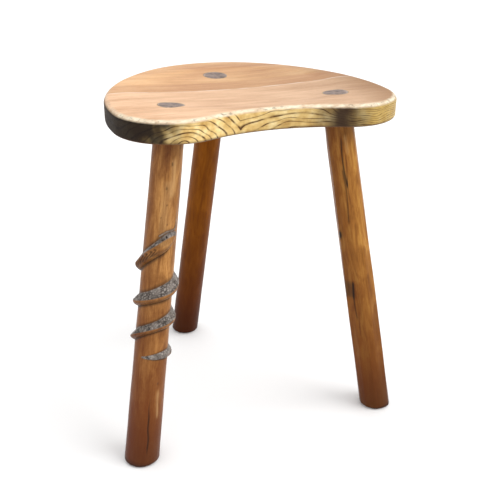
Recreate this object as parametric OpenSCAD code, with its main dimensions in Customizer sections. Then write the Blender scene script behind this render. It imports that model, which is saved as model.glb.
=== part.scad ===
// Three leg stool: kidney seat of two edge-glued boards on three splayed, wedged legs.
// One front leg is carved with a serpent that winds up it in the same piece of wood.
// Millimetres, +Z up, the scooped front edge of the seat faces -Y. Feet stand on z = 0.

/* [Stool] */
// Height of the seat's rim above the floor
stool_h = 450; // [375:5:600]
// Thickness of the seat boards
seat_t = 26; // [20:0.5:40]

/* [Seat outline] */
// Width of the seat from side to side
seat_w = 342; // [280:1:420]
// Radius of the round back
back_r = 138; // [110:1:165]
// Angle of the back's arc on each side, measured up from the side-to-side line
back_turn = 53; // [45:1:65]
// Radius of the two front corners
lobe_r = 65; // [50:1:80]
// Angle below the widest point at which each side turns into its front corner
lobe_turn = 5; // [0:1:15]
// Radius of the scoop in the front edge
scoop_r = 215; // [170:1:400]
// Radius worn onto the top edge
top_round = 6; // [3:0.5:9]
// Radius of the bottom edge
bottom_round = 3; // [1:0.5:4]

/* [Seat hollow] */
// Depth of the hollow in the top
hollow_depth = 5.5; // [2:0.5:9]
// Radius of the hollow's edge
hollow_edge_r = 135; // [100:1:150]
// Middle of the hollow, behind the widest line of the seat
hollow_y = 60; // [40:1:80]

/* [Seat joint] */
// Board joint, behind the widest line of the seat
joint_y = 60; // [40:1:85]
// Diameter of the dowels that cross the joint
dowel_d = 8; // [6:0.5:10]
// Length of each dowel
dowel_len = 50; // [30:1:60]
// Height of the dowels above the underside
dowel_z = 10.5; // [8:0.5:14]
// Distance from the middle dowel to each outer one
dowel_pitch = 110; // [70:1:115]
// Free space left at each end of a dowel hole
dowel_end_gap = 1; // [0.5:0.5:3]

/* [Legs] */
// Where the front left leg comes through the seat [across, back]
left_top = [-102, -9]; // [-110:1:110]
// Where its foot stands
left_foot = [-164, -36]; // [-200:1:200]
// Where the front right leg comes through the seat
right_top = [97, -12]; // [-110:1:110]
// Where its foot stands
right_foot = [181, -34]; // [-200:1:200]
// Where the back leg comes through the seat
back_top = [-3, 129]; // [-150:1:150]
// Where its foot stands
back_foot = [-14, 263]; // [-300:1:300]
// Diameter of each leg just under the seat
leg_d = 34.6; // [30:0.2:42]
// Diameter of a plain foot
foot_d = 41.6; // [34:0.2:50]
// Diameter of the carved leg's foot
carved_foot_d = 44.4; // [36:0.2:52]
// Bevel round the edge of each foot
foot_bevel = 3; // [1:0.5:6]

/* [Tenons and wedges] */
// Diameter of each tapered tenon at the top of the seat
tenon_d = 29.8; // [24:0.2:32]
// Glue line between a tenon or dowel and its hole
glue_gap = 0.05; // [0.02:0.01:0.15]
// Thickness of each wedge at the top
wedge_t = 3.4; // [2:0.1:5]
// Thickness of each wedge at its thin end
wedge_tip = 1; // [0.6:0.1:1.6]
// Depth of each wedge below the seat top
wedge_len = 20; // [12:1:24]

/* [Serpent] */
// Distance along the leg at which the serpent's winding begins
serpent_start = 139.5; // [90:0.5:150]
// Rise of the serpent in one turn
serpent_pitch = 47; // [40:0.5:50]
// Number of turns from tail to snout
serpent_turns = 3.16; // [2.5:0.01:3.2]
// Direction of the tail, counter-clockwise from +X
serpent_heading = 236; // [0:1:359]
// How far the body stands proud of the leg at its thickest
serpent_proud = 8; // [4:0.5:9]
// Width of the body along the leg at its thickest
serpent_w = 18; // [10:0.5:20]

/* [Hidden] */

// Seat outline: back arc, two flanks, two front corners and the scoop, each tangent to the next.
flank_r = (seat_w / 2 - back_r * cos(back_turn)) / (1 - cos(back_turn));
flank_c = [seat_w / 2 - flank_r, 0];
back_c = [0, (flank_r - back_r) * sin(back_turn)];
lobe_c = flank_c + (flank_r - lobe_r) * [cos(lobe_turn), -sin(lobe_turn)];
scoop_c = [0, lobe_c.y - sqrt(pow(scoop_r + lobe_r, 2) - pow(lobe_c.x, 2))];
scoop_turn = atan2(lobe_c.y - scoop_c.y, lobe_c.x);

// Leg = [top point, foot point, foot radius]
LEFT = [left_top, left_foot, carved_foot_d / 2];
RIGHT = [right_top, right_foot, foot_d / 2];
BACK = [back_top, back_foot, foot_d / 2];

// The stool's overall box, which centres the origin under it
lean_xy = [for (leg = [LEFT, RIGHT, BACK]) (leg[0] - leg[1]) / stool_h];
foot_c = [for (i = [0:2]) [LEFT, RIGHT, BACK][i][1] + lean_xy[i] * foot_bevel];
foot_reach = [for (i = [0:2]) [for (k = [0:1])
    [LEFT, RIGHT, BACK][i][2] * sqrt(1 + pow(lean_xy[i][k], 2))]];
box_lo = [for (k = [0:1]) min(k == 0 ? -seat_w / 2 : lobe_c.y - lobe_r,
                              min([for (i = [0:2]) foot_c[i][k] - foot_reach[i][k]]))];
box_hi = [for (k = [0:1]) max(k == 0 ? seat_w / 2 : back_c.y + back_r,
                              max([for (i = [0:2]) foot_c[i][k] + foot_reach[i][k]]))];
origin = (box_lo + box_hi) / 2;

ARC_STEPS = 14;     // points along each arc of the seat outline
ROUND_STEPS = 4;    // steps round each edge of the seat
HOLLOW_STEPS = 12;  // rings across the hollow
SERPENT_STEPS = 26; // rings in one turn of the serpent
OVERCUT = 10;       // extra length of a cutting tool past the wood

function arc(c, r, from, to, steps) =
    [for (i = [0:steps - 1]) c + r * [cos(from + (to - from) * i / steps), sin(from + (to - from) * i / steps)]];

// The outline moved inwards by d, counter-clockwise from the right-hand end of the back arc
function seat_outline(d) = concat(
    arc(back_c, back_r - d, back_turn, 180 - back_turn, 2 * ARC_STEPS),
    arc([-flank_c.x, 0], flank_r - d, 180 - back_turn, 180 + lobe_turn, ARC_STEPS),
    arc([-lobe_c.x, lobe_c.y], lobe_r - d, 180 + lobe_turn, 360 - scoop_turn, ARC_STEPS),
    arc(scoop_c, scoop_r + d, 180 - scoop_turn, scoop_turn, ARC_STEPS),
    arc(lobe_c, lobe_r - d, 180 + scoop_turn, 360 - lobe_turn, ARC_STEPS),
    arc(flank_c, flank_r - d, -lobe_turn, back_turn, ARC_STEPS));

// Solid through a stack of equal rings, lowest first, each ring counter-clockwise from above
module loft(rings) {
    n = len(rings[0]);
    last = len(rings) - 1;
    sides = [for (j = [0:last - 1], i = [0:n - 1])
        [j * n + i, (j + 1) * n + i, (j + 1) * n + (i + 1) % n, j * n + (i + 1) % n]];
    polyhedron(points = [for (ring = rings) each ring],
               faces = concat([[for (i = [0:n - 1]) i]], sides, [[for (i = [n - 1:-1:0]) last * n + i]]),
               convexity = 6);
}

// Outline of the seat at distance d in from the edge and height z above the underside
function seat_ring(d, z) = [for (p = seat_outline(d)) [p.x, p.y, stool_h - seat_t + z]];

module seat_blank() {
    bottom = [for (i = [0:ROUND_STEPS])
        let (a = 90 * i / ROUND_STEPS) seat_ring(bottom_round * (1 - sin(a)), bottom_round * (1 - cos(a)))];
    top = [for (i = [0:ROUND_STEPS])
        let (a = 90 * i / ROUND_STEPS) seat_ring(top_round * (1 - cos(a)), seat_t - top_round * (1 - sin(a)))];
    loft(concat(bottom, top));
}

// Wood scooped out of the top: a shallow bowl, flat in the very middle
module hollow() {
    past_edge = 1 + 1 / HOLLOW_STEPS;
    bowl = [for (i = [1:HOLLOW_STEPS + 1])
        let (s = i / HOLLOW_STEPS) [hollow_edge_r * s, hollow_depth * (s * s - 1)]];
    translate([0, hollow_y, stool_h]) rotate_extrude($fn = 180)
        polygon(concat([[0, bowl[0].y]], bowl, [[hollow_edge_r * past_edge, 4 * OVERCUT], [0, 4 * OVERCUT]]));
}

// Cuts what stands in the seat's holes flush with its top
module trim_flush() {
    difference() {
        children();
        translate([-seat_w, -seat_w, stool_h]) cube([2 * seat_w, 3 * seat_w, 4 * OVERCUT]);
        hollow();
    }
}

// Length and direction of a leg's axis from the middle of its foot to the seat top
function axis(leg) = [leg[0].x - leg[1].x, leg[0].y - leg[1].y, stool_h];
function heading(leg) = atan2(axis(leg).y, axis(leg).x);
function tilt(leg) = acos(stool_h / norm(axis(leg)));
// Distance along the leg at which it begins to taper into its hole, clear of the underside
function taper_start(leg) = norm(axis(leg)) - seat_t / cos(tilt(leg)) - leg_d / 2 * tan(tilt(leg)) - 1;

// Stands its children on the leg's foot and leans them along the leg, x staying towards +X
module on_leg(leg) {
    translate([leg[1].x, leg[1].y, 0])
        rotate([0, tilt(leg), heading(leg)])
            rotate([0, 0, -heading(leg)]) children();
}

// Change in radius per millimetre along the shaft and along the tenon
function shaft_slope(leg) = (leg_d / 2 - leg[2]) / taper_start(leg);
function tenon_slope(leg) = (tenon_d - leg_d) / 2 / (norm(axis(leg)) - taper_start(leg));

// Tapered tenon, grown by the gap given, from the start of its taper to past the seat top
module tenon(leg, gap) {
    len = norm(axis(leg)) - taper_start(leg) + OVERCUT;
    translate([0, 0, taper_start(leg)])
        cylinder(h = len, r1 = leg_d / 2 + gap, r2 = leg_d / 2 + gap + tenon_slope(leg) * len, $fn = 96);
}

// Shaft and tenon turned in one piece, past the floor and past the seat top
module turned_leg(leg) {
    below = leg[2] * tan(tilt(leg)) + OVERCUT;
    top = norm(axis(leg)) + OVERCUT;
    rotate_extrude($fn = 96)
        polygon([[0, -below], [leg[2] - shaft_slope(leg) * below, -below], [leg_d / 2, taper_start(leg)],
                 [tenon_d / 2 + tenon_slope(leg) * OVERCUT, top], [0, top]]);
}

// Wedge across the seat's grain, grown by the gap given, thin end down
module wedge_blank(leg, gap) {
    half_top = wedge_t / 2 + gap;
    half_tip = wedge_tip / 2 + gap;
    grow = (half_top - half_tip) / wedge_len;
    width = leg_d + 2 * OVERCUT;
    translate([0, width / 2, norm(axis(leg))]) rotate([90, 0, 0]) linear_extrude(width)
        polygon([[-half_tip, -wedge_len - gap], [half_tip, -wedge_len - gap],
                 [half_top + grow * OVERCUT, OVERCUT], [-half_top - grow * OVERCUT, OVERCUT]]);
}

// Cuts a foot flat on the floor and bevels its edge
module foot_trim(leg) {
    flat_r = leg[2] - foot_bevel;
    rise = foot_bevel + OVERCUT;
    translate([leg[1].x, leg[1].y, 0]) rotate([0, 0, heading(leg)]) rotate_extrude($fn = 96)
        polygon([[0, -3 * OVERCUT], [flat_r + rise, -3 * OVERCUT], [flat_r + rise, rise], [flat_r, 0], [0, 0]]);
}

// Shaved leg with its tenon, sawn for its wedge, and any carving on its shaft
module leg(leg) {
    trim_flush() difference() {
        on_leg(leg) {
            turned_leg(leg);
            children();
        }
        on_leg(leg) wedge_blank(leg, glue_gap);
        foot_trim(leg);
    }
}

module wedge(leg) {
    trim_flush() on_leg(leg) intersection() {
        wedge_blank(leg, 0);
        tenon(leg, 0);
    }
}

// Height of the serpent's middle line along the leg after u turns
function serpent_z(u) = serpent_start + serpent_pitch * u
    + 4.5 * cos(serpent_heading + 360 * u - 294)
    + 12 * pow(max(0, 1 - u / 0.35), 2)
    + lookup(serpent_turns - u, [[0, 20], [0.08, 16], [0.16, 12], [0.24, 1], [0.3, 0]]);
// Share of the full width and height of the body after u turns
function serpent_width(u) = serpent_w * lookup(u, [[0, 0.15], [0.3, 0.42], [1, 0.6], [2, 0.78],
    [serpent_turns - 0.4, 1], [serpent_turns - 0.1, 0.95], [serpent_turns - 0.03, 0.7], [serpent_turns, 0.35]]);
function serpent_height(u) = serpent_proud * lookup(u, [[0, 0.15], [0.3, 0.5], [1, 0.75], [2, 0.85],
    [serpent_turns - 0.4, 1], [serpent_turns - 0.1, 0.75], [serpent_turns, 0.3]]);

// Section of the body as [share of height, share of width]: a blunt keel over a broad root
SERPENT_SECTION = [[-0.5, -0.38], [0, -0.5], [0.75, -0.36], [1, -0.12], [0.86, 0.1], [0.5, 0.32], [0, 0.5], [-0.5, 0.38]];

module serpent(leg) {
    rings = round(SERPENT_STEPS * serpent_turns);
    loft([for (j = [0:rings])
        let (u = serpent_turns * j / rings, a = serpent_heading + 360 * u, z = serpent_z(u))
        [for (k = [len(SERPENT_SECTION) - 1:-1:0])
            let (s = SERPENT_SECTION[k], r = leg[2] + shaft_slope(leg) * z + s[0] * serpent_height(u) - (s[0] < 0 ? 1.5 : 0))
            [r * cos(a), r * sin(a), z + s[1] * serpent_width(u)]]]);
}

module dowel(x) {
    color("burlywood")
        translate([x, joint_y - dowel_len / 2, stool_h - seat_t + dowel_z])
            rotate([-90, 0, 0]) cylinder(h = dowel_len, d = dowel_d, $fn = 48);
}

module dowel_holes() {
    reach = dowel_len / 2 + dowel_end_gap;
    for (x = [-dowel_pitch, 0, dowel_pitch])
        translate([x, joint_y - reach, stool_h - seat_t + dowel_z])
            rotate([-90, 0, 0]) cylinder(h = 2 * reach, d = dowel_d + 2 * glue_gap, $fn = 48);
}

// Part of the seat between two front-to-back lines, with its holes and its share of the hollow
module seat_board(from_y, to_y) {
    difference() {
        intersection() {
            seat_blank();
            translate([-seat_w, from_y, stool_h - seat_t - OVERCUT])
                cube([2 * seat_w, to_y - from_y, seat_t + 2 * OVERCUT]);
        }
        hollow();
        dowel_holes();
        for (leg = [LEFT, RIGHT, BACK]) on_leg(leg) tenon(leg, glue_gap);
    }
}

module seat_board_front() {
    color("peru") seat_board(joint_y - 2 * seat_w, joint_y - glue_gap / 2);
}

module seat_board_back() {
    color("sandybrown") seat_board(joint_y + glue_gap / 2, joint_y + 2 * seat_w);
}

module leg_front_left() {
    color("sienna") leg(LEFT) serpent(LEFT);
}

module leg_front_right() {
    color("sienna") leg(RIGHT);
}

module leg_back() {
    color("saddlebrown") leg(BACK);
}

module wedge_front_left() {
    color("tan") wedge(LEFT);
}

module wedge_front_right() {
    color("tan") wedge(RIGHT);
}

module wedge_back() {
    color("tan") wedge(BACK);
}

translate([-origin.x, -origin.y, 0]) {
    seat_board_front();
    seat_board_back();
    dowel(-dowel_pitch);  // dowel_left
    dowel(0);  // dowel_middle
    dowel(dowel_pitch);  // dowel_right
    leg_front_left();
    leg_front_right();
    leg_back();
    wedge_front_left();
    wedge_front_right();
    wedge_back();
}
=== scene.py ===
"""Three leg stool: the finished looks of the kidney seat, its wedged legs and the carved serpent."""

import logging
import math
from collections.abc import Iterable
from dataclasses import dataclass, field
from enum import Enum

import bmesh
import bpy
import numpy as np
from mathutils import Matrix, Vector, noise


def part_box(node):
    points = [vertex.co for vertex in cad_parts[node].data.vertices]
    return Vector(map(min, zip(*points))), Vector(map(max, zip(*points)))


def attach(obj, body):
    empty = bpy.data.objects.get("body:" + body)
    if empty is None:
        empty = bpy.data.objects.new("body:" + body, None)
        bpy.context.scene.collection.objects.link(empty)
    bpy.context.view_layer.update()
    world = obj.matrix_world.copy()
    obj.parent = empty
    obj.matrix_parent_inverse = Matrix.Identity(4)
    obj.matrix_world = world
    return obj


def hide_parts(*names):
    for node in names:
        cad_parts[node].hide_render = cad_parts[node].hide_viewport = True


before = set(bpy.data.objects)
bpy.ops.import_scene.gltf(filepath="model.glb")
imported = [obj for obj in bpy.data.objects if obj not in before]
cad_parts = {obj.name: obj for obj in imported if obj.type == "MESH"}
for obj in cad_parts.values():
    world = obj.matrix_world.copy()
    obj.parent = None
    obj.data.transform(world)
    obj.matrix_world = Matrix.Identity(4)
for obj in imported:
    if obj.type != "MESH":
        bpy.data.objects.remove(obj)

LOG = logging.getLogger("stool")
MM = 0.001
ROOT = "root"
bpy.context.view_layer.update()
WELD = 0.003 * MM
RGBA = {"output": 2, "data_type": "RGBA"}
Tree = bpy.types.NodeTree
Socket = bpy.types.NodeSocket
Rows = np.ndarray


class Board(Enum):
    """The two boards that are glued into the seat."""

    FRONT = "seat_board_front"
    BACK = "seat_board_back"


class Surface(Enum):
    """How a leg was left by the maker's drawknife."""

    CARVED = "carved"
    FACETED = "faceted"
    ROUND = "round"


def srgb(code: str) -> tuple[float, float, float, float]:
    """Turns an sRGB hex colour to linear.

    Args:
        code: Colour as "#rrggbb".

    Returns:
        Linear red, green, blue and an alpha of one.
    """
    parts = [int(code[i:i + 2], 16) / 255 for i in (1, 3, 5)]
    return (*[c / 12.92 if c <= 0.04045 else ((c + 0.055) / 1.055) ** 2.4 for c in parts], 1.0)


def add(tree: Tree, kind: str, inputs: dict | None = None, output: int | str = 0,
        stops: Iterable[tuple[float, str]] = (), **settings: object) -> Socket:
    """Adds a node with its settings and links.

    Args:
        tree: Node tree that takes the node.
        kind: Type of the node without its "ShaderNode" prefix.
        inputs: Value or socket for each input, by its name or number.
        output: Name or number of the output to hand back.
        stops: Positions and hex colours of a colour ramp.
        **settings: Properties of the node.

    Returns:
        The output socket asked for.
    """
    node = tree.nodes.new("ShaderNode" + kind)
    for key, value in settings.items():
        setattr(node, key, value)
    for key, value in (inputs or {}).items():
        if isinstance(value, Socket):
            tree.links.new(value, node.inputs[key])
        else:
            node.inputs[key].default_value = value
    stops = list(stops)
    if stops:
        ramp = node.color_ramp.elements
        while len(ramp) < len(stops):
            ramp.new(1.0)
        for element, (position, code) in zip(ramp, stops):
            element.position, element.color = position, srgb(code)
    return node.outputs[output] if node.outputs else None


def swells(tree: Tree, place: Socket, size: tuple[float, float, float], **inputs: float) -> Socket:
    """Lays soft noise whose swells have a real size.

    Args:
        tree: Node tree that takes the pattern.
        place: Place in millimetres.
        size: Length of one swell along each axis, in millimetres.
        **inputs: Detail, roughness and distortion of the noise.

    Returns:
        The pattern's value.
    """
    spot = add(tree, "Mapping", {"Vector": place, "Scale": tuple(1 / s for s in size)})
    return add(tree, "TexNoise", {"Vector": spot, "Scale": 1.0, **inputs})


def new_material(name: str) -> bpy.types.Material:
    """Makes an empty node material.

    Args:
        name: Name of the finish.

    Returns:
        The new material.
    """
    material = bpy.data.materials.new(name)
    material.use_nodes = True
    material.node_tree.nodes.clear()
    return material


def ripple(points: Rows, size: float | tuple[float, float, float], seed: float) -> Rows:
    """Smooth noise between about -1 and 1.

    Args:
        points: Places, three columns, in millimetres.
        size: Width of one swell in millimetres, or one for each axis.
        seed: Offset that picks another part of the noise.

    Returns:
        One value for each point.
    """
    scaled = points / np.array(size, float) + seed
    return np.array([noise.noise(Vector(p)) for p in scaled])


def ease(low: float, high: float, value: Rows | float) -> Rows:
    """Smooth step from 0 at low to 1 at high."""
    t = np.clip((np.asarray(value, float) - low) / (high - low), 0, 1)
    return t * t * (3 - 2 * t)


def swing(azimuth: Rows, turn: Rows | float) -> Rows:
    """Angle from a turn to each azimuth, in radians, the short way round."""
    return (azimuth - turn + math.pi) % (2 * math.pi) - math.pi


def finish_mesh(name: str, bm: bmesh.types.BMesh,
        materials: Iterable[bpy.types.Material]) -> bpy.types.Object:
    """Turns a bmesh into a smooth-shaded object at the origin.

    Args:
        name: Name of the piece.
        bm: Finished bmesh, in metres in the row frame. It is freed.
        materials: Materials for the piece's slots.

    Returns:
        The new object, linked to the scene.
    """
    mesh = bpy.data.meshes.new(name)
    bm.to_mesh(mesh)
    bm.free()
    mesh.shade_smooth()
    for material in materials:
        mesh.materials.append(material)
    piece = bpy.data.objects.new(name, mesh)
    bpy.context.scene.collection.objects.link(piece)
    return piece


def cut(piece: bpy.types.Object, cutter: bmesh.types.BMesh) -> None:
    """Cuts a bmesh out of a piece and frees it.

    Args:
        piece: Object whose mesh is cut.
        cutter: Closed bmesh in the row frame.
    """
    tool = finish_mesh(piece.name + "_cutter", cutter, [])
    modifier = piece.modifiers.new("cut", "BOOLEAN")
    modifier.operation, modifier.solver, modifier.object = "DIFFERENCE", "EXACT", tool
    shaped = bpy.data.meshes.new_from_object(piece.evaluated_get(bpy.context.evaluated_depsgraph_get()))
    piece.modifiers.remove(modifier)
    bm = bmesh.new()
    bm.from_mesh(shaped)
    bmesh.ops.remove_doubles(bm, verts=bm.verts, dist=WELD)
    bmesh.ops.dissolve_degenerate(bm, edges=bm.edges, dist=WELD)
    bmesh.ops.holes_fill(bm, edges=[e for e in bm.edges if e.is_boundary], sides=0)
    bm.to_mesh(shaped)
    bm.free()
    piece.data = shaped
    bpy.data.objects.remove(tool)


def hand_over(piece: bpy.types.Object, node: str) -> None:
    """Lets a piece ride on the stool and stand for its CAD node.

    Args:
        piece: Finished piece.
        node: CAD node that it replaces.
    """
    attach(piece, ROOT)
    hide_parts(node)
    LOG.info("%s stands for %s: %d faces", piece.name, node, len(piece.data.polygons))


@dataclass(frozen=True)
class SeatWood:
    """Elm, sawn, scooped by hand and waxed.

    The cut edge shows dark growth rings, the top only fine straight grain.
    """

    name: str = "waxed_elm_seat"
    roughness: float = 0.42
    shine: float = 0.16
    grain_depth: float = 0.0004
    end_grain_shade_from: float = -98.0
    end_grain_shade_to: float = -143.0
    stain_x: float = 77.0
    stain_reach: float = 42.0
    band: tuple[float, float] = (92.0, 99.0)
    right_end_shade: tuple[float, float] = (104.0, 160.0)

    def make(self, seat: "Seat", tone: Board) -> bpy.types.Material:
        """Builds the material for one board.

        Args:
            seat: Seat whose places the stains and rings follow.
            tone: Board that it dresses.

        Returns:
            The new material.
        """
        material = new_material(f"{self.name}_{tone.name.lower()}")
        tree = material.node_tree
        place = add(tree, "TexCoord", output="Object")
        local = add(tree, "Mapping", {"Vector": place, "Location": seat.to_local(), "Scale": (1 / MM,) * 3})
        axes = add(tree, "SeparateXYZ", {0: local}).node.outputs
        inset = add(tree, "Attribute", output="Fac", attribute_name="inset")
        facing = add(tree, "Attribute", output="Fac", attribute_name="facing")
        shade = self.fibres(tree, local)
        chip, worn = self.wear_and_highlight(tree, local, axes, inset, facing)
        top = self.top(tree, seat, tone, local, axes, shade)
        edge, ring, end_grain_shade = self.edge(tree, local, axes, shade)
        side = add(tree, "MapRange", {0: facing, 1: 0.80, 2: 0.35, 3: 0.0, 4: 1.0})
        colour = add(tree, "Mix", {0: side, 6: top, 7: edge}, **RGBA)
        under = add(tree, "MapRange", {0: facing, 1: -0.3, 2: -0.8, 3: 0.0, 4: 0.8})
        # The near-white on the front arris is rubbed wood together with a painted highlight
        for share, tint in ((under, "#6b4524"), (worn, "#efe5cb"), (chip, "#6f665a")):
            colour = add(tree, "Mix", {0: share, 6: colour, 7: srgb(tint)}, **RGBA)
        rough = add(tree, "MapRange", {0: shade, 1: 0.86, 2: 1.1, 3: self.roughness + 0.08,
            4: self.roughness - 0.06})
        # Where the left end's darker end grain and painted shade lie the wood is dull, the rest has a thin wax
        # shine
        dull = add(tree, "Math", {0: end_grain_shade, 1: side}, operation="MULTIPLY")
        rough = add(tree, "Math", {0: dull, 1: 0.25, 2: rough}, operation="MULTIPLY_ADD")
        relief = add(tree, "Math", {0: shade, 1: 2.0}, operation="MULTIPLY")
        for share, depth in ((ring, -0.35), (chip, -0.6)):
            relief = add(tree, "Math", {0: share, 1: depth, 2: relief}, operation="MULTIPLY_ADD")
        bump = add(tree, "Bump", {"Strength": 0.45, "Distance": self.grain_depth, "Height": relief})
        shader = add(tree, "BsdfPrincipled", {"Base Color": colour, "Roughness": rough, "IOR": 1.5,
            "Normal": bump, "Specular IOR Level": self.shine})
        add(tree, "OutputMaterial", {"Surface": shader})
        return material

    def fibres(self, tree: Tree, local: Socket) -> Socket:
        """Brightness of the wood: fibres 0.8 mm wide, streaks 3 mm wide and short dark pores, all side to side.

        Args:
            tree: Node tree of the material.
            local: Place in the seat's own millimetres.

        Returns:
            The brightness.
        """
        fine = swells(tree, local, (30, 0.8, 0.8), Detail=4.0, Roughness=0.65)
        broad = swells(tree, local, (70, 3.4, 3.4), Detail=3.0, Distortion=0.3)
        pore = swells(tree, local, (7, 0.5, 0.5), Detail=2.0)
        shade = add(tree, "MapRange", {0: fine, 1: 0.3, 2: 0.7, 3: 0.92, 4: 1.06})
        streak = add(tree, "MapRange", {0: broad, 1: 0.3, 2: 0.7, 3: 0.90, 4: 1.07})
        speck = add(tree, "MapRange", {0: pore, 1: 0.60, 2: 0.70, 3: 1.0, 4: 0.82})
        shade = add(tree, "Math", {0: shade, 1: streak}, operation="MULTIPLY")
        return add(tree, "Math", {0: shade, 1: speck}, operation="MULTIPLY")

    def top(self, tree: Tree, seat: "Seat", tone: Board, local: Socket, axes: bpy.types.NodeOutputs,
            shade: Socket) -> Socket:
        """Colour of the hollowed top.

        Args:
            tree: Node tree of the material.
            seat: Seat whose joint the pale line follows.
            tone: Board that it dresses.
            local: Place in the seat's own millimetres.
            axes: The same place, axis by axis.
            shade: Brightness of the fibres.

        Returns:
            The colour.
        """
        front = tone is Board.FRONT
        cloud = swells(tree, local, (80, 22, 22), Detail=3.0)
        top = add(tree, "ValToRGB", {0: cloud}, stops=[(0.28, "#c89a73" if front else "#c59165"),
            (0.5, "#dbb08a" if front else "#d5a474"), (0.72, "#e8be98" if front else "#e1b585")])
        # Painted light and shade: paler towards the left end, browner and darker towards the right end
        along = add(tree, "MapRange", {0: axes["X"], 1: -150.0, 2: 165.0, 3: 1.12, 4: 0.78})
        shade = add(tree, "Math", {0: shade, 1: along}, operation="MULTIPLY")
        top = add(tree, "VectorMath", {0: top, 3: shade}, operation="SCALE")
        end = add(tree, "MapRange", {0: axes["X"], 1: self.right_end_shade[0], 2: self.right_end_shade[1], 3: 0.0,
            4: 0.82})
        top = add(tree, "Mix", {0: end, 6: top, 7: srgb("#966a3c")}, **RGBA)
        # A band of browner wood behind the joint, and the pale line where the two boards meet
        band = add(tree, "MapRange", {0: axes["Y"], 1: self.band[1], 2: self.band[0], 3: 0.0,
            4: 0.0 if front else 0.30})
        top = add(tree, "Mix", {0: band, 6: top, 7: srgb("#a5714f")}, **RGBA)
        off = add(tree, "Math", {0: axes["Y"], 1: seat.joint_y}, operation="SUBTRACT")
        off = add(tree, "Math", {0: off}, operation="ABSOLUTE")
        fleck = swells(tree, local, (22, 2, 9), Detail=4.0)
        fleck = add(tree, "MapRange", {0: fleck, 1: 0.42, 2: 0.62, 3: 0.12, 4: 0.85})
        seam = add(tree, "MapRange", {0: off, 1: 1.7, 2: 0.4, 3: 0.0, 4: 1.0})
        seam = add(tree, "Math", {0: seam, 1: fleck}, operation="MULTIPLY")
        return add(tree, "Mix", {0: seam, 6: top, 7: srgb("#fbf0e2")}, **RGBA)

    def edge(self, tree: Tree, local: Socket, axes: bpy.types.NodeOutputs, shade: Socket) -> tuple[Socket,
            ...]:
        """Colour of the sawn edge: golden, ringed, nearly black at its left end from darker end grain and
        painted shade, and stained by the right leg.

        Args:
            tree: Node tree of the material.
            local: Place in the seat's own millimetres.
            axes: The same place, axis by axis.
            shade: Brightness of the fibres.

        Returns:
            The colour, and the shares of dark ring and of the left end's darker end grain with painted shade.
        """
        count = add(tree, "Attribute", output="Fac", attribute_name="rings")
        uneven = add(tree, "TexNoise", {"Vector": add(tree, "CombineXYZ", {0: count}), "Scale": 0.8,
            "Detail": 1.0})
        count = add(tree, "Math", {0: count, 1: uneven}, operation="ADD")
        share = add(tree, "Math", {0: count}, operation="FRACT")
        ring = add(tree, "ValToRGB", {0: share}, stops=[(0.0, "#ffffff"), (0.09, "#f8f8f8"),
            (0.22, "#505050"), (0.30, "#000000"), (0.86, "#000000"), (0.95, "#909090"), (1.0, "#ffffff")])
        broken = swells(tree, local, (12, 5, 4), Detail=2.0)
        broken = add(tree, "MapRange", {0: broken, 1: 0.32, 2: 0.58, 3: 0.3, 4: 1.0})
        ring = add(tree, "Math", {0: ring, 1: broken}, operation="MULTIPLY")
        blot = add(tree, "TexNoise", {"Vector": local, "Scale": 1 / 13, "Detail": 4.0})
        edge = add(tree, "ValToRGB", {0: blot}, stops=[(0.28, "#a98244"), (0.5, "#cdad6e"), (0.7, "#e2cb94")])
        right = add(tree, "MapRange", {0: axes["X"], 1: 70.0, 2: 115.0, 3: 0.0, 4: 0.75})
        edge = add(tree, "Mix", {0: right, 6: edge, 7: srgb("#b0914a")}, **RGBA)
        # Painted light: the edge is made brighter towards its left middle
        fresh = add(tree, "MapRange", {0: axes["X"], 1: -60.0, 2: 0.0, 3: 1.17, 4: 1.0})
        shade = add(tree, "Math", {0: shade, 1: fresh}, operation="MULTIPLY")
        edge = add(tree, "VectorMath", {0: edge, 3: shade}, operation="SCALE")
        drift = add(tree, "TexNoise", {"Vector": local, "Scale": 1 / 15, "Detail": 2.0, "Roughness": 0.4})
        shift = add(tree, "MapRange", {0: drift, 1: 0.0, 2: 1.0, 3: -26.0, 4: 26.0})
        across = add(tree, "Math", {0: axes["X"], 1: shift}, operation="ADD")
        slant = add(tree, "Math", {0: axes["Z"], 1: -0.8, 2: 0.8 * 437.0}, operation="MULTIPLY_ADD")
        slant = add(tree, "Math", {0: slant, 1: across}, operation="ADD")
        # Painted shade: the left end of the edge, end grain turned away from the light, goes nearly black
        left = add(tree, "MapRange", {0: slant, 1: self.end_grain_shade_from, 2: self.end_grain_shade_to, 3: 0.0, 4: 0.985},
            interpolation_type="SMOOTHSTEP")
        stain = add(tree, "Math", {0: axes["X"], 1: add(tree, "MapRange",
            {0: drift, 1: 0.0, 2: 1.0, 3: -10.0, 4: 10.0})}, operation="ADD")
        stain = add(tree, "Math", {0: stain, 1: self.stain_x}, operation="SUBTRACT")
        stain = add(tree, "Math", {0: stain}, operation="ABSOLUTE")
        stain = add(tree, "MapRange", {0: stain, 1: self.stain_reach, 2: 1.0, 3: 0.0, 4: 0.97},
            interpolation_type="SMOOTHSTEP")
        near = add(tree, "MapRange", {0: axes["Y"], 1: -30.0, 2: -50.0, 3: 0.0, 4: 1.0})
        stain = add(tree, "Math", {0: stain, 1: near}, operation="MULTIPLY")
        back = add(tree, "MapRange", {0: axes["Y"], 1: 10.0, 2: 80.0, 3: 0.0, 4: 0.6})
        low = add(tree, "MapRange", {0: axes["Z"], 1: 428.0, 2: 424.3, 3: 0.0, 4: 0.8})
        coats = ((ring, "#4a2c12"), (left, "#1a0f08"), (stain, "#2c190d"), (back, "#5f3c1c"),
            (low, "#2f1b0d"))
        for share, tint in coats:
            edge = add(tree, "Mix", {0: share, 6: edge, 7: srgb(tint)}, **RGBA)
        return edge, ring, left

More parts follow.
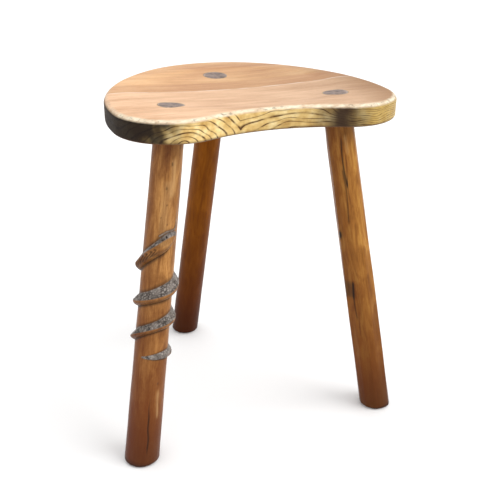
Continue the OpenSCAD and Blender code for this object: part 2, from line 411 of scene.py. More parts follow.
    def wear_and_highlight(self, tree: Tree, local: Socket, axes: bpy.types.NodeOutputs, inset: Socket,
            facing: Socket) -> tuple[Socket, Socket]:
        """Top arris along the front, rubbed pale and pitted; its near-white pale is partly real wear and partly
        a painted highlight.

        Args:
            tree: Node tree of the material.
            local: Place in the seat's own millimetres.
            axes: The same place, axis by axis.
            inset: Distance in from the edge.
            facing: How far the surface looks up.

        Returns:
            The shares of grey pits and of rubbed wood with its painted highlight.
        """
        ridge = add(tree, "MapRange", {0: inset, 1: 0.3, 2: 1.8, 3: 0.0, 4: 1.0})
        inner = add(tree, "MapRange", {0: inset, 1: 6.6, 2: 3.4, 3: 0.0, 4: 1.0})
        upper = add(tree, "MapRange", {0: facing, 1: 0.0, 2: 0.35, 3: 0.0, 4: 1.0})
        arris = add(tree, "Math", {0: ridge, 1: inner}, operation="MULTIPLY")
        arris = add(tree, "Math", {0: arris, 1: upper}, operation="MULTIPLY")
        patch = swells(tree, local, (12, 5, 5), Detail=6.0, Roughness=0.68)
        patch = add(tree, "MapRange", {0: patch, 1: 0.40, 2: 0.60, 3: 0.38, 4: 1.0})
        front = add(tree, "MapRange", {0: axes["Y"], 1: 5.0, 2: -40.0, 3: 0.2, 4: 1.0})
        worn = add(tree, "Math", {0: arris, 1: patch}, operation="MULTIPLY")
        worn = add(tree, "Math", {0: worn, 1: front}, operation="MULTIPLY")
        chip = swells(tree, local, (6, 3, 3), Detail=4.0, Roughness=0.6)
        chip = add(tree, "MapRange", {0: chip, 1: 0.54, 2: 0.70, 3: 0.0, 4: 0.7})
        return add(tree, "Math", {0: chip, 1: arris}, operation="MULTIPLY"), worn


@dataclass(frozen=True)
class LegWood:
    """Hardwood, shaved with a knife and dark waxed.

    It shows soft long streaks, and is mottled gold where hands have rubbed it; its marks add a painted
    highlight and painted shade.
    """

    name: str
    dark: str
    middle: str
    light: str
    foot: str
    mottle: float = 1.0
    roughness: float = 0.36
    shine: float = 0.13
    grain_depth: float = 0.0004

    def make(self, leg: "Leg") -> bpy.types.Material:
        """Builds the material with its grain along one leg.

        Args:
            leg: Leg whose axis the grain follows.

        Returns:
            The new material.
        """
        material = new_material(self.name)
        tree = material.node_tree
        place = add(tree, "TexCoord", output="Object")
        turn = leg.matrix().inverted()
        spot = add(tree, "Mapping", {"Vector": place, "Location": turn.translation,
            "Rotation": turn.to_euler()})
        spot = add(tree, "VectorMath", {0: spot, 3: 1 / MM}, operation="SCALE")
        axes = add(tree, "SeparateXYZ", {0: spot}).node.outputs
        # Streaks 1.1 mm wide and 60 mm long, over blotches 9 mm wide and 40 mm long
        streak = swells(tree, spot, (1.1, 1.1, 60), Detail=4.0, Roughness=0.6, Distortion=0.25)
        blotch = swells(tree, spot, (9, 9, 40), Detail=3.0, Roughness=0.55, Distortion=0.8)
        speck = swells(tree, spot, (1.6, 1.6, 4), Detail=3.0, Roughness=0.7)
        tone = add(tree, "Math", {0: blotch, 1: 0.65}, operation="MULTIPLY")
        tone = add(tree, "Math", {0: streak, 1: 0.35, 2: tone}, operation="MULTIPLY_ADD")
        tone = add(tree, "Math", {0: speck, 1: 0.24 * self.mottle, 2: tone}, operation="MULTIPLY_ADD")
        tone = add(tree, "Math", {0: tone, 1: 0.12 * self.mottle}, operation="SUBTRACT")
        colour = add(tree, "ValToRGB", {0: tone}, stops=[(0.30, self.dark), (0.5, self.middle),
            (0.70, self.light)])
        # Darker with handling and polish below and at the heel; at the neck under the seat, dark patina with
        # painted shade
        foot = add(tree, "MapRange", {0: axes["Z"], 1: 262.0, 2: 50.0, 3: 0.0, 4: 0.9})
        heel = add(tree, "MapRange", {0: axes["Z"], 1: 85.0, 2: 12.0, 3: 0.0, 4: 0.40})
        neck = add(tree, "MapRange", {0: axes["Z"], 1: 390.0, 2: 428.0, 3: 0.0, 4: 0.42})
        handling_and_shade = add(tree, "Math", {0: heel, 1: neck}, operation="ADD")
        mark = add(tree, "Attribute", output="Fac", attribute_name="mark")
        # mark holds pale and dark streaks: the broad dark ones are painted shade on a leg's left side, one wide
        # pale one is a painted highlight
        pale = add(tree, "MapRange", {0: mark, 1: 0.0, 2: 1.0, 3: 0.0, 4: 1.0})
        pale = add(tree, "Math", {0: pale, 1: add(tree, "MapRange",
            {0: streak, 1: 0.35, 2: 0.6, 3: 0.3, 4: 1.0})}, operation="MULTIPLY")
        dim = add(tree, "MapRange", {0: mark, 1: 0.0, 2: -1.0, 3: 0.0, 4: 1.0})
        dusk = add(tree, "ValToRGB", {0: dim}, stops=[(0.40, "#571c02"), (0.75, "#26150b")])
        shadow = add(tree, "Attribute", output="Fac", attribute_name="shadow")
        sole = add(tree, "MapRange", {0: axes["Z"], 1: 7.0, 2: 1.0, 3: 0.0, 4: 0.6})
        coats = ((foot, srgb(self.foot)), (handling_and_shade, srgb("#26150b")), (pale, srgb("#c09a68")), (dim, dusk),
            (shadow, srgb("#1b0f08")), (sole, srgb("#1c110a")))
        for share, tint in coats:
            colour = add(tree, "Mix", {0: share, 6: colour, 7: tint}, **RGBA)
        if leg.surface is Surface.CARVED:
            colour = self.scaly(tree, colour, spot, speck)
        relief = add(tree, "Math", {0: streak, 1: 0.6, 2: speck}, operation="MULTIPLY_ADD")
        rough = add(tree, "MapRange", {0: speck, 1: 0.3, 2: 0.7, 3: self.roughness - 0.06,
            4: self.roughness + 0.10})
        bump = add(tree, "Bump", {"Strength": 0.4, "Distance": self.grain_depth, "Height": relief})
        shader = add(tree, "BsdfPrincipled", {"Base Color": colour, "Roughness": rough, "IOR": 1.5,
            "Normal": bump, "Specular IOR Level": self.shine})
        add(tree, "OutputMaterial", {"Surface": shader})
        return material

    def scaly(self, tree: Tree, colour: Socket, spot: Socket, speck: Socket) -> Socket:
        """Greys the serpent's scaled back and darkens the cuts in it.

        Args:
            tree: Node tree of the leg's material.
            colour: Colour of the wood so far.
            spot: Place on the leg in millimetres.
            speck: Fine noise.

        Returns:
            The colour with the serpent's back.
        """
        scales = add(tree, "Attribute", output="Fac", attribute_name="scales")
        patch = add(tree, "TexNoise", {"Vector": spot, "Scale": 1 / 6, "Detail": 3.0})
        grey = add(tree, "ValToRGB", {0: patch}, stops=[(0.32, "#665d56"), (0.5, "#837a73"),
            (0.68, "#978f88")])
        grain = add(tree, "MapRange", {0: speck, 1: 0.3, 2: 0.7, 3: 0.7, 4: 1.25})
        grey = add(tree, "VectorMath", {0: grey, 3: grain}, operation="SCALE")
        colour = add(tree, "Mix", {0: scales, 6: colour, 7: grey}, **RGBA)
        nick = add(tree, "Attribute", output="Fac", attribute_name="nick")
        return add(tree, "Mix", {0: nick, 6: colour, 7: srgb("#17110d")}, **RGBA)


@dataclass(frozen=True)
class EndGrain:
    """End grain of a sawn tenon, flushed and greyed by wax.

    It shows short dark pores in soft rings, and is paler at its rim.
    """

    name: str
    dark: str = "#4d3b32"
    light: str = "#917d73"
    rim: str = "#b8a592"

    def make(self, leg: "Leg") -> bpy.types.Material:
        """Builds the material centred on one leg's top.

        Args:
            leg: Leg whose tenon it shows.

        Returns:
            The new material.
        """
        material = new_material(self.name)
        tree = material.node_tree
        place = add(tree, "TexCoord", output="Object")
        centre = leg.at(1.0)
        spot = add(tree, "Mapping", {"Vector": place, "Location": tuple(-c / MM for c in centre),
            "Scale": (1 / MM,) * 3})
        flat = add(tree, "VectorMath", {0: spot, 1: (1.0, 1.0, 0.0)}, operation="MULTIPLY")
        away = add(tree, "VectorMath", {0: flat}, output="Value", operation="LENGTH")
        patch = add(tree, "TexNoise", {"Vector": spot, "Scale": 1 / 9, "Detail": 3.0})
        pores = add(tree, "TexNoise", {"Vector": spot, "Scale": 1 / 0.9, "Detail": 3.0})
        rings = add(tree, "TexWave", {"Vector": add(tree, "VectorMath", {0: flat, 1: (7.0, 3.0, 0.0)},
            operation="ADD"), "Scale": 0.16, "Distortion": 1.5, "Detail": 2.0}, output="Fac",
            wave_type="RINGS", rings_direction="Z")
        tone = add(tree, "Math", {0: patch, 1: add(tree, "Math", {0: pores, 1: 0.5}, operation="MULTIPLY")},
            operation="ADD")
        tone = add(tree, "Math", {0: tone, 1: add(tree, "Math", {0: rings, 1: 0.16}, operation="MULTIPLY")},
            operation="ADD")
        colour = add(tree, "ValToRGB", {0: tone}, stops=[(0.62, self.dark), (1.0, self.light)])
        rim = add(tree, "MapRange", {0: away, 1: 12.8, 2: 14.2, 3: 0.0, 4: 0.9})
        rim = add(tree, "Math", {0: rim, 1: patch}, operation="MULTIPLY")
        colour = add(tree, "Mix", {0: rim, 6: colour, 7: srgb(self.rim)}, **RGBA)
        bump = add(tree, "Bump", {"Strength": 0.4, "Distance": 0.0003, "Height": pores})
        shader = add(tree, "BsdfPrincipled", {"Base Color": colour, "Roughness": 0.5, "IOR": 1.5,
            "Normal": bump})
        add(tree, "OutputMaterial", {"Surface": shader})
        return material


@dataclass(frozen=True)
class PlainWood:
    """Raw riven hardwood for wedges and dowels: matt, with close straight fibres."""

    name: str
    dark: str
    light: str
    along: tuple[float, float, float] = (1 / 1.0, 1 / 1.0, 1 / 14.0)

    def make(self) -> bpy.types.Material:
        """Builds the material.

        Returns:
            The new material.
        """
        material = new_material(self.name)
        tree = material.node_tree
        place = add(tree, "TexCoord", output="Object")
        spot = add(tree, "Mapping", {"Vector": place, "Scale": tuple(a / MM for a in self.along)})
        fibre = add(tree, "TexNoise", {"Vector": spot, "Scale": 1.0, "Detail": 4.0})
        colour = add(tree, "ValToRGB", {0: fibre}, stops=[(0.32, self.dark), (0.68, self.light)])
        bump = add(tree, "Bump", {"Strength": 0.4, "Distance": 0.0003, "Height": fibre})
        shader = add(tree, "BsdfPrincipled", {"Base Color": colour, "Roughness": 0.55, "IOR": 1.5,
            "Normal": bump})
        add(tree, "OutputMaterial", {"Surface": shader})
        return material


@dataclass
class Seat:
    """Kidney seat of two boards, in millimetres from the middle of its widest line."""

    height: float = 450.0
    thick: float = 26.0
    half_width: float = 170.6
    back_r: float = 138.0
    back_turn: float = 53.0
    lobe_r: float = 65.0
    lobe_turn: float = 5.0
    scoop_r: float = 215.0
    top_round: float = 6.5
    bottom_round: float = 3.0
    hollow_depth: float = 5.5
    hollow_reach: tuple[float, float] = (143.0, 116.0)
    hollow_y: float = 56.0
    joint_y: float = 60.0
    joint_gap: float = 0.025
    trim: float = 0.36
    pole: tuple[float, float] = (0.0, 42.0)
    step: float = 1.55
    dowel_r: float = 4.05
    dowel_pitch: float = 110.0
    dowel_hole: float = 52.0
    dowel_z: float = 10.5
    ring_gap: float = 4.6
    heart_left: float = -107.0
    heart_right: float = 32.0
    finish: SeatWood = field(default_factory=SeatWood)

    def origin(self) -> Vector:
        """Place of the seat's own origin in the row frame, in metres."""
        low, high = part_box(Board.FRONT.value)
        return Vector(((low.x + high.x) / 2, high.y - (self.joint_y - self.joint_gap) * MM, 0.0))

    def to_local(self) -> tuple[float, float, float]:
        """Millimetres to add to a row place, in millimetres, to count from the seat's own origin."""
        return tuple(-c / MM for c in self.origin())

    def outline(self) -> tuple[Rows, Rows]:
        """Walks round the seat, arc by arc, each tangent to the next.

        Returns:
            The outline's points, counter-clockwise, and the unit normals that point into the wood.
        """
        turn, lean = math.radians(self.back_turn), math.radians(self.lobe_turn)
        flank_r = (self.half_width - self.back_r * math.cos(turn)) / (1 - math.cos(turn))
        flank = Vector((self.half_width - flank_r, 0.0, 0.0))
        back = Vector((0.0, (flank_r - self.back_r) * math.sin(turn), 0.0))
        lobe = flank + (flank_r - self.lobe_r) * Vector((math.cos(lean), -math.sin(lean), 0.0))
        scoop = Vector((0.0, lobe.y - math.sqrt((self.scoop_r + self.lobe_r) ** 2 - lobe.x ** 2), 0.0))
        dip = math.atan2(lobe.y - scoop.y, lobe.x)
        mirror = Vector((-1.0, 1.0, 1.0))
        arcs = [(back, self.back_r, math.pi - 2 * turn), (flank * mirror, flank_r, turn + lean),
            (lobe * mirror, self.lobe_r, math.pi - dip - lean), (scoop, self.scoop_r, 2 * dip - math.pi),
            (lobe, self.lobe_r, math.pi - dip - lean), (flank, flank_r, turn + lean)]
        bm = bmesh.new()
        start = back + self.back_r * Vector((math.cos(turn), math.sin(turn), 0.0))
        tip = bmesh.ops.create_vert(bm, co=start)["vert"]
        for centre, radius, angle in arcs:
            steps = max(6, round(radius * abs(angle) / self.step))
            spun = bmesh.ops.spin(bm, geom=tip, cent=centre, axis=(0, 0, 1), angle=angle, steps=steps)
            tip = [v for v in spun["geom_last"] if isinstance(v, bmesh.types.BMVert)]
        bmesh.ops.remove_doubles(bm, verts=bm.verts, dist=0.01)
        vert, walked, seen = bm.verts[:][0], [], set()
        edge = vert.link_edges[0]
        while vert not in seen:
            seen.add(vert)
            walked.append(vert.co.xy.to_tuple())
            vert = edge.other_vert(vert)
            edge = next(e for e in vert.link_edges if e is not edge)
        bm.free()
        points = np.array(walked)
        ahead = np.roll(points, -1, 0) - np.roll(points, 1, 0)
        if np.sum(points[:, 0] * np.roll(points[:, 1], -1) - points[:, 1] * np.roll(points[:, 0], -1)) < 0:
            points, ahead = points[::-1], -ahead[::-1]
        ahead /= np.linalg.norm(ahead, axis=1)[:, None]
        return points, np.stack([-ahead[:, 1], ahead[:, 0]], 1)

    def top(self, xy: Rows) -> Rows:
        """Height of the hollowed top above the floor.

        Args:
            xy: Places, two columns, in the seat's own millimetres.

        Returns:
            One height for each place.
        """
        reach = np.hypot(xy[:, 0] / self.hollow_reach[0], (xy[:, 1] - self.hollow_y) / self.hollow_reach[1])
        bowl = self.hollow_depth * np.clip(1 - reach ** 2, 0, None)
        flat = np.column_stack([xy, np.zeros(len(xy))])
        return self.height - bowl * ease(1.0, 0.82, reach) - 0.12 * (1 + ripple(flat, (60, 22, 22), 3.1))

    def profile(self) -> list[tuple[float, float, float, float]]:
        """Steps from the middle of the underside, round the edge, to the middle of the top.

        Returns:
            Inset from the edge, height above the underside, share of the way to the middle, and facing.
        """
        steps = [(self.bottom_round, 0.0, 1 - s / 22, -1.0) for s in range(22)]
        for i in range(5):
            a = math.pi / 2 * i / 4
            steps.append((self.bottom_round * (1 - math.sin(a)), self.bottom_round * (1 - math.cos(a)), 0.0,
                -math.cos(a)))
        low, high = self.bottom_round, self.thick - self.top_round
        steps += [(0.0, low + (high - low) * i / 16, 0.0, 0.0) for i in range(1, 16)]
        for i in range(11):
            a = math.pi / 2 * i / 10
            steps.append((self.top_round * (1 - math.cos(a)), high + self.top_round * math.sin(a), 0.0,
                math.sin(a)))
        steps += [(self.top_round, self.thick, (s / 84) ** 0.92, 1.0) for s in range(1, 84)]
        return steps

    def blank(self) -> bmesh.types.BMesh:
        """Grows the whole seat ring by ring and closes it.

        Returns:
            The seat in metres in the row frame, with its inset and facing on each vertex.
        """
        points, inward = self.outline()
        pole = np.array(self.pole)
        bm = bmesh.new()
        inset_layer = bm.verts.layers.float.new("inset")
        facing_layer = bm.verts.layers.float.new("facing")
        ring_layer = bm.verts.layers.float.new("rings")
        origin = self.origin()
        chips = self.chips(points)
        rim = np.column_stack([points, np.full(len(points), self.height)])
        sway = 0.35 * ripple(rim, 55.0, 8.7)
        ring: list[bmesh.types.BMVert] = []
        for inset, rise, share, facing in self.profile():
            worn = chips * max(0.0, math.sin(math.pi * max(0.0,
                facing))) if rise > self.thick / 2 else 0.0 * chips
            xy = points + (inset + self.trim + sway + 0.7 * worn)[:, None] * inward
            xy = pole + (xy - pole) * (1 - share)
            z = np.full(len(xy), self.height - self.thick + rise)
            if rise > self.thick - self.top_round:
                z += (self.top(xy) - self.height) * ease(self.thick - self.top_round, self.thick, rise)
                z -= 0.7 * worn
            elif facing == 0.0:
                xy = xy + 0.12 * ripple(np.column_stack([xy, z]), (14, 14, 6), 1.3)[:, None] * inward
            elif facing < 0.0:
                z += 0.12 * (1 + ripple(np.column_stack([xy, z]), (40, 12, 12), 5.5)) * ease(0.0, -1.0,
                    facing)
            counts = self.rings(np.column_stack([xy, z]))
            places = np.column_stack([xy * MM, z * MM]) + np.array(origin)
            if ring:
                edges = [bm.edges.get((ring[i - 1], ring[i])) for i in range(len(ring))]
                grown = bmesh.ops.extrude_edge_only(bm, edges=edges)["geom"]
                fresh = {v for v in grown if isinstance(v, bmesh.types.BMVert)}
                ring = [next(e.other_vert(v) for e in v.link_edges if e.other_vert(v) in fresh) for v in ring]
            else:
                ring = [bmesh.ops.create_vert(bm, co=p)["vert"][0] for p in places]
                for i in range(len(ring)):
                    bm.edges.new((ring[i - 1], ring[i]))
            for vert, spot, count in zip(ring, places, counts):
                vert.co = spot
                vert[ring_layer] = count
                vert[inset_layer] = inset + share * 120
                vert[facing_layer] = facing
        bmesh.ops.holes_fill(bm, edges=[e for e in bm.edges if e.is_boundary], sides=0)
        bmesh.ops.recalc_face_normals(bm, faces=bm.faces)
        return bm

    def rings(self, spots: Rows) -> Rows:
        """Counts the growth rings over the sawn edge.

        Nested arches stand over the two places where the edge comes nearest the heart of the tree, and meet
        in a V; the rings lie level and close towards the right end.

        Args:
            spots: Places, three columns, in the seat's own millimetres.

        Returns:
            Number of rings passed at each place.
        """
        x = spots[:, 0] + 7.0 * ripple(spots, (30, 30, 16), 2.9)
        rise = spots[:, 2] - (self.height - self.thick) + 2.6 * ripple(spots, (20, 20, 9), 7.7)
        rise = rise * (1 + 1.1 * ease(55.0, 100.0, x))
        left = np.hypot((x - self.heart_left) / 1.9, rise)
        off = x - self.heart_right
        right = np.hypot(np.where(off > 0, 22.0 * np.tanh(off / 30.0), off) / 4.4, rise) + 17.4
        return np.minimum(left, right) / self.ring_gap

    def chips(self, points: Rows) -> Rows:
        """Wears the top arris, most along the front.

        Args:
            points: The outline.

        Returns:
            Depth of wear at each of its points.
        """
        rim = np.column_stack([points, np.zeros(len(points))])
        small = np.clip(ripple(rim, 7.5, 2.2) - 0.15, 0, None)
        large = np.clip(ripple(rim, 21.0, 6.1), 0, None)
        front = 0.25 + 0.75 * ease(-5.0, -45.0, points[:, 1])
        return (1.2 * small + 0.9 * large) * front

    def holes(self, legs: list["Leg"]) -> bmesh.types.BMesh:
        """Tools for the tenon and dowel holes.

        Args:
            legs: Legs that come through the seat.

        Returns:
            One bmesh that holds them all, in the row frame.
        """
        bm = bmesh.new()
        for leg in legs:
            low, high = leg.shoulder() - 6.0, leg.length() + 12.0
            bmesh.ops.create_cone(bm, cap_ends=True, segments=96, radius1=(leg.radius(low) + leg.glue) * MM,
                radius2=(leg.radius(high) + leg.glue) * MM, depth=(high - low) * MM,
                matrix=leg.matrix() @ Matrix.Translation((0, 0, (low + high) / 2 * MM)))
        for x in (-self.dowel_pitch, 0.0, self.dowel_pitch):
            spot = self.origin() + Vector((x, self.joint_y, self.height - self.thick + self.dowel_z)) * MM
            bmesh.ops.create_cone(bm, cap_ends=True, segments=32, radius1=self.dowel_r * MM,
                radius2=self.dowel_r * MM, depth=self.dowel_hole * MM,
                matrix=Matrix.Translation(spot) @ Matrix.Rotation(math.pi / 2, 4, "X"))
        return bm

    def build(self, legs: list["Leg"]) -> None:
        """Makes both boards, bores them and dresses them.

        Args:
            legs: Legs that come through the seat.
        """
        whole = self.blank()
        plane = self.origin().y + self.joint_y * MM
        gap = self.joint_gap * MM
        for board, sign in ((Board.FRONT, 1.0), (Board.BACK, -1.0)):
            bm = whole.copy()
            sliced = bmesh.ops.bisect_plane(bm, geom=bm.verts[:] + bm.edges[:] + bm.faces[:], dist=1e-7,
                plane_co=(0, plane - sign * gap, 0), plane_no=(0, sign, 0), clear_outer=True)
            rim = [e for e in sliced["geom_cut"] if isinstance(e, bmesh.types.BMEdge)]
            face = bmesh.ops.contextual_create(bm, geom=rim)["faces"]
            bmesh.ops.triangulate(bm, faces=face)
            bmesh.ops.remove_doubles(bm, verts=bm.verts, dist=1e-7)
            piece = finish_mesh(f"{board.value}_finished", bm, [self.finish.make(self, board)])
            cut(piece, self.holes(legs))
            hand_over(piece, board.value)
        whole.free()


@dataclass(frozen=True)
class Station:
    """One place along the serpent: turns from its tail, then millimetres on the leg."""

    turn: float
    keel: float
    above: float
    below: float
    proud: float


@dataclass
class Serpent:
    """Serpent carved in relief round the front left leg: keeled, scaled on its back, smooth at its head."""

    heading: float = 236.0
    scale_long: float = 3.2
    scale_high: float = 2.5
    scale_cut: float = 1.0
    eye_place: tuple[float, float] = (3.098, 308.6)
    stations: tuple[Station, ...] = tuple(Station(*row) for row in ((-0.04, 153.0, 0.8, 0.8, 0.2),
        (0.07, 155.2, 3.6, 3.4, 2.0), (0.16, 156.3, 5.4, 4.6, 3.2), (0.29, 155.5, 7.0, 5.5, 5.0),
        (0.56, 163.0, 7.0, 6.0, 5.2), (0.81, 174.1, 7.2, 6.2, 6.2), (0.88, 181.5, 7.8, 6.8, 6.3),
        (1.00, 191.5, 6.6, 6.6, 6.3), (1.09, 197.0, 7.2, 7.0, 6.3), (1.18, 200.6, 9.0, 8.0, 6.4),
        (1.30, 203.5, 11.5, 8.5, 6.6), (1.55, 211.5, 9.5, 8.0, 6.6), (1.81, 220.9, 8.4, 7.6, 6.8),
        (1.98, 230.5, 9.2, 7.4, 6.8), (2.08, 236.2, 11.0, 8.4, 7.0), (2.17, 240.2, 12.0, 9.5, 7.2),
        (2.30, 247.5, 11.5, 11.0, 7.2), (2.55, 256.5, 10.0, 9.5, 7.4), (2.81, 267.5, 12.0, 9.2, 7.6),
        (2.88, 275.5, 10.5, 9.2, 8.0), (2.98, 289.0, 8.5, 11.0, 8.0), (3.055, 296.5, 10.5, 11.0, 7.6),
        (3.11, 302.0, 11.0, 12.0, 7.0), (3.16, 305.5, 8.8, 9.0, 5.2), (3.20, 309.5, 4.6, 4.4, 2.6),
        (3.225, 311.0, 0.8, 0.8, 0.2)))
    tongue: tuple[tuple[float, float], ...] = ((3.04, 308.5), (3.10, 313.6), (3.15, 315.2), (3.19, 315.6),
        (3.215, 318.0), (3.222, 323.0), (3.218, 330.0), (3.214, 340.0))

    def relief(self, azimuth: Rows, along: Rows, radius: float) -> tuple[Rows, ...]:
        """Carving over the plain leg.

        Args:
            azimuth: Direction of each point round the leg, in degrees.
            along: Distance of each point along the leg.
            radius: Radius of the leg in the middle of the carving.

        Returns:
            Height over the leg, and the shares of scaled back, cut nick and shadowed crease.
        """
        table = np.array([[s.turn, s.keel, s.above, s.below, s.proud] for s in self.stations])
        height, scales = np.zeros_like(along), np.zeros_like(along)
        nick, shadow = np.zeros_like(along), np.zeros_like(along)
        base = ((azimuth - self.heading) / 360.0) % 1.0
        for lap in range(-1, 4):
            turn = base + lap
            inside = (turn >= table[0, 0]) & (turn <= table[-1, 0])
            if not inside.any():
                continue
            keel, above, below, proud = (self.smooth(turn, table[:, 0], table[:, c]) for c in range(1, 5))
            off = along - keel
            reach = np.where(off > 0, off / above, -off / below)
            head = ease(2.86, 3.04, turn)
            keeled = np.where(off > 0, (1 - np.clip(reach, 0, 1)) ** 0.9,
                np.clip(1 - np.clip(reach, 0, 1) ** 2.4, 0, 1) ** 0.8)
            rounded = np.clip(1 - np.clip(reach, 0, 1) ** 2.1, 0, 1) ** 0.62
            body = proud * (keeled * (1 - head) + rounded * head)
            run = turn * 2 * math.pi * (radius + 5.0)
            pick = inside & (reach < 1.35)
            wander = ripple(np.column_stack([run, off, proud])[pick], 7.0, 4.4) if pick.any() else np.zeros(0)
            swell = np.zeros_like(along)
            swell[pick] = wander
            # Scales: small uneven cells over the upper face, and the whole of the thin tail
            scruff = ease(2.64, 2.80, turn)
            strip = above * (1 - scruff) + 4.2 * scruff
            back = ease(-0.8, 0.6, off - (above - strip)) * ease(1.04, 0.94, reach)
            back = np.maximum(back, ease(0.32, 0.18, turn) * ease(1.04, 0.9, reach))
            back = back * inside
            cells = [noise.voronoi(Vector((a / self.scale_long, b / self.scale_high, 0.5)))[0] for a,
                b in np.column_stack([run + swell, off])[pick]]
            edge_of = np.full_like(along, 1.0)
            edge_of[pick] = [c[1] - c[0] for c in cells]
            span = 2 * math.pi * (radius + 6.0)
            eye = np.hypot((turn - self.eye_place[0]) * span, along - self.eye_place[1])
            groove = ease(2.0, 3.6, eye) * ease(0.34, 0.06, edge_of) * (0.35 + 0.65 * ease(-0.3, 0.3, swell))
            # Small knife nicks under the neck, where the scales give way to the smooth head
            brow = above - strip
            neck = ease(2.70, 2.76, turn) * ease(3.06, 3.0, turn) * ease(-7.0, -5.0, off) * ease(brow - 2.0,
                brow - 4.0, off)
            cuts = ease(0.85, 0.45, np.abs(np.sin(math.pi * (run + 1.1 * np.abs(off) + 1.2 * swell)
                / 4.8))) * neck
            carve = np.maximum(groove * back, 0.95 * cuts) * inside
            here = body - self.scale_cut * carve * ease(0.0, 1.5, body) + 0.35 * swell * back
            here = np.where(inside & (reach < 1), np.clip(here, 0, None), 0)
            trench = ease(1.0, 1.05, reach) * ease(1.45, 1.12, reach) * inside
            height = np.maximum(height, here) - 0.35 * trench * (height <= 0) * (here <= 0)
            scales = np.maximum(scales, back)
            nick = np.maximum(nick, 0.80 * carve)
            crease = ease(0.78, 1.0, reach) * ease(1.6, 1.0, reach) * inside * ease(0.0, 2.5, proud)
            shadow = np.maximum(shadow, 0.8 * crease * np.where(off > 0, 0.75, 1.0))
            belly = np.where(off < 0, 0.40 * ease(0.0, 0.5, reach), 0.16) * inside * (reach < 1)
            shadow = np.maximum(shadow, belly * (1 - back))
            # Eye: a drilled pit in a raised lid
            height = height + inside * (0.8 * np.exp(-((eye - 2.3) / 0.7) ** 2) - 1.8
                * np.exp(-(eye / 1.3) ** 2))
            nick = np.maximum(nick, inside * 0.95 * ease(1.7, 0.9, eye))
            # Tongue: a thin raised strip from the jaw up the leg's edge
            thin = self.from_line(turn, along, radius)
            fade = ease(341.0, 322.0, along)
            strip_up = 1.1 * fade * np.clip(1 - (thin / (0.5 + 0.6 * fade)) ** 2, 0, 1)
            height = np.maximum(height, strip_up)
            scales = np.maximum(scales, 0.8 * fade * ease(1.2, 0.7, thin) * (turn > 3.02))
            shadow = np.maximum(shadow, 0.6 * fade * ease(2.4, 1.2, thin) * ease(0.7, 1.1, thin))
        return height, scales, nick, shadow

    def smooth(self, turn: Rows, turns: Rows, values: Rows) -> Rows:
        """Runs a value through the stations and rounds off its corners.

        Args:
            turn: Turns at which the value is wanted.
            turns: Turns of the stations.
            values: Values of the stations.

        Returns:
            One value for each turn.
        """
        shifts = np.linspace(-0.035, 0.035, 5)
        return np.mean([np.interp(turn + s, turns, values) for s in shifts], axis=0)

    def from_line(self, turn: Rows, along: Rows, radius: float) -> Rows:
        """Measures how far each point lies from the tongue's middle line.

        Args:
            turn: Turns from the serpent's tail.
            along: Distance of each point along the leg.
            radius: Radius of the leg.

        Returns:
            Distances in millimetres.
        """
        span = 2 * math.pi * radius
        near = np.full_like(along, 1e3)
        for (t0, s0), (t1, s1) in zip(self.tongue, self.tongue[1:]):
            step = np.array([(t1 - t0) * span, s1 - s0])
            rel = np.stack([(turn - t0) * span, along - s0])
            part = np.clip((rel[0] * step[0] + rel[1] * step[1]) / step.dot(step), 0, 1)
            near = np.minimum(near, np.hypot(rel[0] - part * step[0], rel[1] - part * step[1]))
        return near


@dataclass(frozen=True)
class Mark:
    """Streak along a leg in millimetres, at a turn in degrees: pale above zero, dark below. Besides wood
    colour, streaks paint a highlight and shade.
    """

    start: float
    end: float
    turn: float
    width: float
    tone: float


